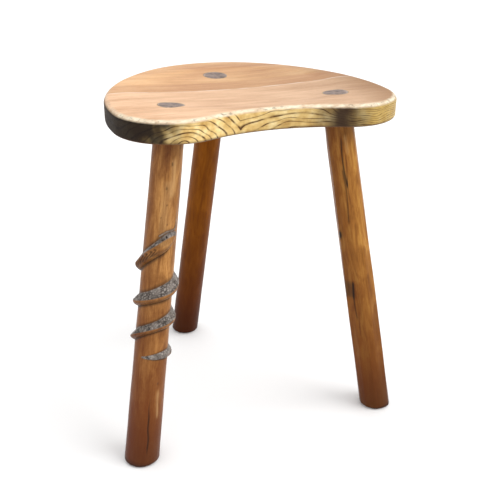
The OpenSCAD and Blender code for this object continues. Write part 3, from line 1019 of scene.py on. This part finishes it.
@dataclass
class Leg:
    """One leg with its tenon and wedge, in the seat's own millimetres."""

    node: str
    wedge_node: str
    slot: str
    top_place: tuple[float, float]
    foot_place: tuple[float, float]
    foot_r: float
    surface: Surface
    finish: LegWood
    seat: Seat
    seed: float
    neck_r: float = 17.3
    tenon_r: float = 14.9
    glue: float = 0.05
    bevel: float = 3.0
    wedge_top: float = 3.4
    wedge_tip: float = 1.0
    wedge_len: float = 20.0
    slot_past: float = 6.0
    slot_wider: float = 12.0
    top_gap: float = 0.10
    eased_top: float = 24.0
    around: int = 112
    ring: float = 2.2
    carved_ring: float = 0.55
    tongue_ring: float = 0.8
    carved_from: float = 118.0
    carved_to: float = 310.0
    tongue_to: float = 345.0
    facets: int = 11
    facet_edge: float = 3.2
    pits: tuple[tuple[float, float, float, float], ...] = ()
    marks: tuple[Mark, ...] = ()
    crack: tuple[float, float, float] | None = None
    serpent: Serpent | None = None

    def lean(self) -> Vector:
        """Vector from the middle of the foot to the seat's top, in millimetres."""
        return Vector((self.top_place[0] - self.foot_place[0], self.top_place[1] - self.foot_place[1],
            self.seat.height))

    def length(self) -> float:
        """Length of the axis from floor to seat top."""
        return self.lean().length

    def heading(self) -> float:
        """Direction in which the leg leans, counter-clockwise from +X."""
        return math.atan2(self.lean().y, self.lean().x)

    def tilt(self) -> float:
        """Lean from upright."""
        return math.acos(self.seat.height / self.length())

    def at(self, share: float) -> Vector:
        """Point on the axis at that share of its length, in metres in the row frame."""
        foot = self.seat.origin() + Vector((*self.foot_place, 0.0)) * MM
        return foot + self.lean() * share * MM

    def matrix(self) -> Matrix:
        """Stands the leg's own frame on its foot, x staying towards +X."""
        turn = Matrix.Rotation(self.heading(), 4, "Z")
        return Matrix.Translation(self.at(0.0)) @ turn @ Matrix.Rotation(self.tilt(), 4,
            "Y") @ turn.inverted()

    def shoulder(self) -> float:
        """Distance along the leg at which it begins to taper into its hole."""
        return (self.length() - self.seat.thick / math.cos(self.tilt()) - self.neck_r * math.tan(self.tilt())
            - 1.0)

    def radius(self, along: Rows | float) -> Rows | float:
        """Radius of the plain leg.

        Args:
            along: Distance along the leg.

        Returns:
            The radius there.
        """
        shaft = self.foot_r + (self.neck_r - self.foot_r) * along / self.shoulder()
        tenon = self.neck_r + (self.tenon_r - self.neck_r) * (along - self.shoulder()) / (self.length()
            - self.shoulder())
        return np.where(np.asarray(along) < self.shoulder(), shaft, tenon)

    def revolved(self) -> bmesh.types.BMesh:
        """Spins the leg's profile, its radius as a share and its height above the floor in millimetres.

        Returns:
            The closed bmesh, upright on its own axis.
        """
        high = self.seat.height
        heights = [self.bevel * i / 3 for i in range(4)]
        z = self.bevel
        while z < high - 1.5:
            carved = self.serpent is not None and self.carved_from < z < self.tongue_to
            z += (self.carved_ring if z < self.carved_to else self.tongue_ring) if carved else self.ring
            heights.append(min(z, high))
        heights[-1] = high
        rims = [0.0, 0.3, 0.6, 0.8]
        steps = [(r, 0.0) for r in rims] + [(1.0, h) for h in heights] + [(r, high) for r in (0.985, 0.93,
            0.8, 0.6, 0.35, 0.0)]
        bm = bmesh.new()
        vert = bmesh.ops.create_vert(bm, co=(steps[0][0], 0.0, steps[0][1]))["vert"][0]
        for share, height in steps[1:]:
            vert = bmesh.ops.extrude_vert_indiv(bm, verts=[vert])["verts"][0]
            vert.co = (share, 0.0, height)
        bmesh.ops.spin(bm, geom=bm.verts[:] + bm.edges[:], cent=(0, 0, 0), axis=(0, 0, 1), angle=2 * math.pi,
            steps=self.around, use_merge=True)
        bmesh.ops.remove_doubles(bm, verts=bm.verts, dist=1e-5)
        bmesh.ops.recalc_face_normals(bm, faces=bm.faces)
        return bm

    def shave(self, azimuth: Rows, along: Rows) -> Rows:
        """Departure of the hand-made shaft from a true cone.

        Args:
            azimuth: Direction of each point round the leg, in radians.
            along: Distance of each point along the leg.

        Returns:
            Millimetres to add to the radius.
        """
        plain = self.radius(along)
        spots = np.column_stack([plain * np.cos(azimuth), plain * np.sin(azimuth), along])
        out = 0.30 * ripple(spots, (16, 16, 60), self.seed) + 0.10 * ripple(spots, (5, 5, 14), self.seed + 3)
        if self.surface is Surface.FACETED:
            total = np.zeros_like(along)
            for i in range(self.facets):
                middle = 2 * math.pi * (i + 0.22 * math.sin(2.7 * i + self.seed)) / self.facets
                middle = middle + 0.10 * np.sin(along / 83.0 + 1.9 * i)
                depth = plain * (0.972 + 0.012 * math.sin(1.7 * i + self.seed)) + 0.25 * np.sin(along / 61.0
                    + 2.3 * i)
                near = np.clip(np.cos(azimuth - middle), 0.4, None)
                total += np.exp(-self.facet_edge * (depth / near - plain))
            out += (-np.log(total) / self.facet_edge + 0.35) * (0.45 + 0.55 * ease(5.0, 70.0, along))
        fade = ease(self.shoulder() - 4.0, self.shoulder() - 40.0, along)
        for s, turn, size, depth in self.pits:
            around = swing(azimuth, math.radians(turn))
            out -= depth * np.exp(-(np.hypot(around * plain, 0.6 * (along - s)) / size) ** 2)
        if self.crack is not None:
            out -= 1.1 * self.in_crack(azimuth, along)
        return out * fade

    def in_crack(self, azimuth: Rows, along: Rows) -> Rows:
        """Follows the leg's drying crack.

        Args:
            azimuth: Direction of each point round the leg, in radians.
            along: Distance of each point along the leg.

        Returns:
            Share of the crack's depth at each point.
        """
        start, end, turn = self.crack
        wander = math.radians(turn) + 0.045 * np.sin(along / 17.0) + 0.02 * np.sin(along / 5.0)
        around = swing(azimuth, wander) * self.radius(along)
        taper = ease(start, start + 18, along) * ease(end, end - 45, along)
        return np.exp(-(around / (0.35 + 0.5 * taper)) ** 2) * taper

    def streaks_and_painted_light(self, azimuth: Rows, along: Rows) -> Rows:
        """Adds up the pale and dark streaks, a painted highlight and painted shade among them.

        Args:
            azimuth: Direction of each point round the leg, in radians.
            along: Distance of each point along the leg.

        Returns:
            Tone at each point, pale above zero.
        """
        total = np.zeros_like(along)
        for mark in self.marks:
            wander = math.radians(mark.turn) + 0.05 * np.sin(along / 13.0 + mark.start)
            around = swing(azimuth, wander) * self.radius(along)
            within = ease(mark.start, mark.start + 9, along) * ease(mark.end, mark.end - 9, along)
            total += mark.tone * np.exp(-(around / mark.width) ** 2) * within
        return np.clip(total, -1, 1)

    def shape(self) -> bpy.types.Object:
        """Bends the spun profile into the leaning, shaved and carved leg.

        Returns:
            The leg's object, before its wedge slot is cut.
        """
        piece = finish_mesh(f"{self.node}_finished", self.revolved(),
            [self.finish.make(self), EndGrain(f"{self.node}_end_grain").make(self)])
        mesh = piece.data
        raw = np.zeros(len(mesh.vertices) * 3)
        mesh.vertices.foreach_get("co", raw)
        raw = raw.reshape(-1, 3)
        share = np.hypot(raw[:, 0], raw[:, 1])
        azimuth = np.arctan2(raw[:, 1], raw[:, 0])
        height = raw[:, 2]
        tilt, high = self.tilt(), self.seat.height
        lean = np.array(self.lean())
        axis = lean / self.length()
        foot = np.array([*self.foot_place, 0.0])
        ahead = np.array([math.cos(self.heading()), math.sin(self.heading()), 0.0])
        across = np.array([-ahead[1], ahead[0], 0.0])
        upright = (ahead - math.sin(tilt) * axis) / math.cos(tilt)

        def spread(rise: Rows) -> tuple[Rows, Rows, Rows]:
            """Lays level rings at those heights.

            Args:
                rise: Height of each vertex's ring.

            Returns:
                Places, distances along the leg and outward directions.
            """
            part = azimuth - self.heading()
            reach = self.radius(rise / math.cos(tilt)) * share
            along = rise / math.cos(tilt) + reach * np.cos(part) * math.tan(tilt)
            for _ in range(2):
                reach = self.radius(along) * share
                along = rise / math.cos(tilt) + reach * np.cos(part) * math.tan(tilt)
            level = foot + np.outer(rise / high, lean)
            level += (reach * np.cos(part) / math.cos(tilt))[:, None] * ahead + (reach * np.sin(part))[:,
                None] * across
            out = np.cos(part)[:, None] * upright + np.sin(part)[:, None] * across
            return level, along, out

        level, along, out = spread(height)
        ceiling = np.minimum(self.seat.top(level[:, :2]) + self.top_gap, high - self.top_gap)
        start = high - self.eased_top
        height = np.where(height > start, start + (height - start) * (ceiling - start) / (high - start),
            height)
        level, along, out = spread(height)
        grow = self.shave(azimuth, along)
        shadow = np.zeros_like(along)
        nick, scales = np.zeros_like(along), np.zeros_like(along)
        for s, turn, size, _ in self.pits:
            around = swing(azimuth, math.radians(turn))
            spot = np.hypot(around * self.radius(along), 0.6 * (along - s))
            shadow = np.maximum(shadow, 0.6 * ease(1.2 * size, 0.4 * size, spot))
        if self.crack is not None:
            shadow = np.maximum(shadow, 0.85 * self.in_crack(azimuth, along))
        if self.serpent is not None:
            relief, scales, nick, crease = self.serpent.relief(np.degrees(azimuth), along, self.radius(235.0))
            grow = grow * ease(2.0, 0.0, relief) + relief
            shadow = np.maximum(shadow, crease)
        grow = np.where(share > 0.99, grow, grow * share)
        bevelled = ease(0.0, 1.0, 1 - height / self.bevel) * self.bevel
        level = level + (grow * share)[:, None] * out - (bevelled * np.clip(share, 0, 1))[:, None] * out
        level[:, 2] = np.where(height <= 0.0, 0.0, np.maximum(level[:, 2], 0.02))
        rough = 0.07 * ripple(level, 2.4, self.seed) * (share < 0.99) * (height > high / 2)
        level[:, 2] += rough
        placed = level * MM + np.array(self.seat.origin())
        mesh.vertices.foreach_set("co", placed.ravel())
        for name, values in (("shadow", shadow), ("nick", nick), ("scales", scales),
                ("mark", self.streaks_and_painted_light(azimuth, along))):
            mesh.attributes.new(name, "FLOAT", "POINT").data.foreach_set("value", values.astype(np.float32))
        self.mark_end(mesh, raw[:, 2])
        mesh.update()
        return piece

    def mark_end(self, mesh: bpy.types.Mesh, height: Rows) -> None:
        """Gives the faces of the tenon's top the end grain's material.

        Args:
            mesh: Mesh of the leg.
            height: Each vertex's height in the spun profile.
        """
        lifted = height > self.seat.height - 0.01
        for face in mesh.polygons:
            if all(lifted[v] for v in face.vertices):
                face.material_index = 1

    def wedge_blank(self, gap: float, rise: float, width: float) -> bmesh.types.BMesh:
        """Tapered wedge across the grain, grown by a gap on each side.

        Args:
            gap: Millimetres to add on each side.
            rise: Millimetres that it goes past the seat's top line.
            width: Length of the wedge across the tenon.

        Returns:
            A closed bmesh in the row frame.
        """
        grow = (self.wedge_top - self.wedge_tip) / self.wedge_len
        bottom = self.wedge_len + gap
        bm = bmesh.new()
        bmesh.ops.create_cube(bm, size=1.0)
        bmesh.ops.subdivide_edges(bm, edges=[e for e in bm.edges
            if abs(e.verts[0].co.y - e.verts[1].co.y) > 0.5], cuts=19, use_grid_fill=True)
        for vert in bm.verts:
            side, high = math.copysign(1, vert.co.x), vert.co.z > 0
            half = (self.wedge_top + grow * rise) / 2 if high else self.wedge_tip / 2
            z = self.length() + rise if high else self.length() - bottom
            vert.co = Vector((side * (half + gap), vert.co.y * width, z)) * MM
        bmesh.ops.transform(bm, matrix=self.matrix(), verts=bm.verts)
        return bm

    def wedge(self) -> None:
        """Makes the wedge, flush with the hollowed top."""
        width = 2 * math.sqrt(self.tenon_r ** 2 - (self.wedge_top / 2) ** 2) - 0.3
        bm = self.wedge_blank(0.0, 0.0, width)
        origin = self.seat.origin()
        for vert in bm.verts:
            if vert.co.z > (self.seat.height - 12.0) * MM:
                spot = (vert.co - origin) / MM
                flush = min(float(self.seat.top(np.array([[spot.x, spot.y]]))[0]) + 0.13,
                    self.seat.height - 0.04)
                vert.co += self.lean() * ((flush * MM - vert.co.z) / self.lean().z)
        sharp = [e for e in bm.edges if e.calc_face_angle(0.0) > 1.0]
        bmesh.ops.bevel(bm, geom=sharp, offset=0.12 * MM, offset_type="OFFSET", segments=2, profile=0.5,
            affect="EDGES", material=-1, clamp_overlap=True)
        bmesh.ops.recalc_face_normals(bm, faces=bm.faces)
        wood = PlainWood(f"{self.wedge_node}_greyed_wood", "#6f5c52", "#9b877b", (1 / 0.7, 1 / 0.7, 1 / 0.7))
        piece = finish_mesh(f"{self.wedge_node}_finished", bm, [wood.make()])
        hand_over(piece, self.wedge_node)

    def build(self) -> None:
        """Makes the leg, saws its tenon and drives the wedge."""
        piece = self.shape()
        cut(piece, self.wedge_blank(self.glue, self.slot_past, 2 * self.tenon_r + self.slot_wider))
        hand_over(piece, self.node)
        self.wedge()


@dataclass
class Studio:
    """Camera, pale floor and soft lights."""

    eye: tuple[float, float, float] = (-0.3382, -0.9214, 0.6589)
    yaw: float = 21.818
    pitch: float = 26.283
    roll: float = 0.877
    lens: float = 55.42
    sensor: float = 36.0
    shift_y: float = 0.0451
    sun_from: tuple[float, float, float] = (0.80, -0.58, 0.90)
    sun_strength: float = 1.45
    sun_spread: float = 46.0
    sky_strength: float = 1.0
    floor_half: float = 12.0

    def camera(self) -> None:
        """Sets the camera at the viewing angle."""
        data = bpy.data.cameras.new("camera")
        data.lens, data.sensor_width, data.shift_y = self.lens, self.sensor, self.shift_y
        eye = bpy.data.objects.new("camera", data)
        eye.matrix_world = (Matrix.Translation(self.eye) @ Matrix.Rotation(math.radians(-self.yaw), 4,
            "Z") @ Matrix.Rotation(math.radians(90 - self.pitch), 4,
            "X") @ Matrix.Rotation(math.radians(self.roll), 4, "Z"))
        bpy.context.scene.collection.objects.link(eye)
        bpy.context.scene.camera = eye

    def sun(self) -> None:
        """Adds the soft key light."""
        data = bpy.data.lights.new("key", "SUN")
        data.energy, data.angle = self.sun_strength, math.radians(self.sun_spread)
        lamp = bpy.data.objects.new("key", data)
        lamp.rotation_euler = Vector(self.sun_from).to_track_quat("Z", "Y").to_euler()
        bpy.context.scene.collection.objects.link(lamp)

    def floor(self) -> None:
        """Lays the floor under the feet."""
        bm = bmesh.new()
        bmesh.ops.create_grid(bm, x_segments=1, y_segments=1, size=self.floor_half)
        material = new_material("matt_pale_floor")
        tree = material.node_tree
        shader = add(tree, "BsdfPrincipled", {"Base Color": srgb("#fbfbfb"), "Roughness": 0.9})
        add(tree, "OutputMaterial", {"Surface": shader})
        finish_mesh("floor", bm, [material])

    def build(self) -> None:
        """Sets up the whole studio."""
        self.camera()
        self.floor()
        self.sun()
        world = bpy.data.worlds.new("studio")
        world.use_nodes = True
        sky = world.node_tree.nodes["Background"].inputs
        sky["Color"].default_value = srgb("#ffffff")
        sky["Strength"].default_value = self.sky_strength
        bpy.context.scene.world = world
        bpy.context.scene.view_settings.view_transform = "Standard"


def main() -> None:
    """Builds the stool piece by piece."""
    logging.basicConfig(level=logging.INFO, format="%(name)s: %(message)s")
    Studio().build()
    seat = Seat()
    legs = [Leg("leg_front_left", "wedge_front_left", "leg_wood", (-102.0, -9.0), (-164.0, -36.0), 22.2,
        Surface.CARVED, LegWood("mottled_waxed_ash_leg", "#6c401b", "#976634", "#c18b4e", "#622c05"), seat,
        1.7, around=192, pits=((364.0, 262.0, 1.5, 0.9), (392.0, 276.0, 1.6, 0.7), (345.0, 268.0, 0.8, 0.4),
        (330.0, 250.0, 0.7, 0.3), (322.0, 274.0, 0.8, 0.3), (118.0, 288.0, 1.2, 0.5)),
        # Broad dark mark at turn 184: painted shade on the leg's left side; wide pale mark at turn 260: a
        # painted highlight
        marks=(Mark(350.0, 402.0, 283.0, 3.5, 0.6), Mark(66.0, 112.0, 293.0, 1.8, 0.55),
        Mark(380.0, 420.0, 255.0, 4.0, -0.35), Mark(-20.0, 480.0, 184.0, 20.0, -0.44),
        Mark(292.0, 378.0, 260.0, 7.5, 0.42)), crack=(12.0, 110.0, 266.0), serpent=Serpent()),
        Leg("leg_front_right", "wedge_front_right", "leg_wood", (97.0, -12.0), (181.0, -34.0), 20.8,
        Surface.FACETED, LegWood("shaved_waxed_ash_leg", "#6a3f13", "#976329", "#bb8840", "#5f2e05",
        mottle=0.5, shine=0.1), seat, 5.2, around=144, marks=(Mark(340.0, 412.0, 243.0, 1.1, -0.7),
        Mark(318.0, 398.0, 250.0, 0.8, -0.55), Mark(290.0, 372.0, 237.0, 1.1, -0.55),
        Mark(268.0, 286.0, 184.0, 3.0, -0.7), Mark(148.0, 214.0, 217.0, 1.3, -0.6),
        # Broad dark marks at turns 187 and 200: painted shade on the leg's left side
        Mark(120.0, 168.0, 226.0, 0.9, -0.45), Mark(180.0, 440.0, 187.0, 17.0, -0.50),
        Mark(10.0, 215.0, 200.0, 18.0, -0.24), Mark(380.0, 414.0, 259.0, 2.6, 0.4))),
        Leg("leg_back", "wedge_back", "back_leg_wood", (-3.0, 129.0), (-14.0, 263.0), 20.8, Surface.ROUND,
        LegWood("dark_waxed_ash_leg", "#5c2d05", "#754008", "#874d10", "#451a04", mottle=0.3, shine=0.05),
        seat, 9.4)]
    for leg in legs:
        leg.build()
    seat.build(legs)
    dowel_wood = PlainWood("raw_beech_dowel", "#b08d5f", "#d3b487", (1 / 0.8, 1 / 18.0, 1 / 0.8)).make()
    for name in ("dowel_left", "dowel_middle", "dowel_right"):
        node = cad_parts[name]
        node.data.materials.clear()
        node.data.materials.append(dowel_wood)
        LOG.info("%s dressed in raw beech", name)


if __name__ == "__main__":
    main()
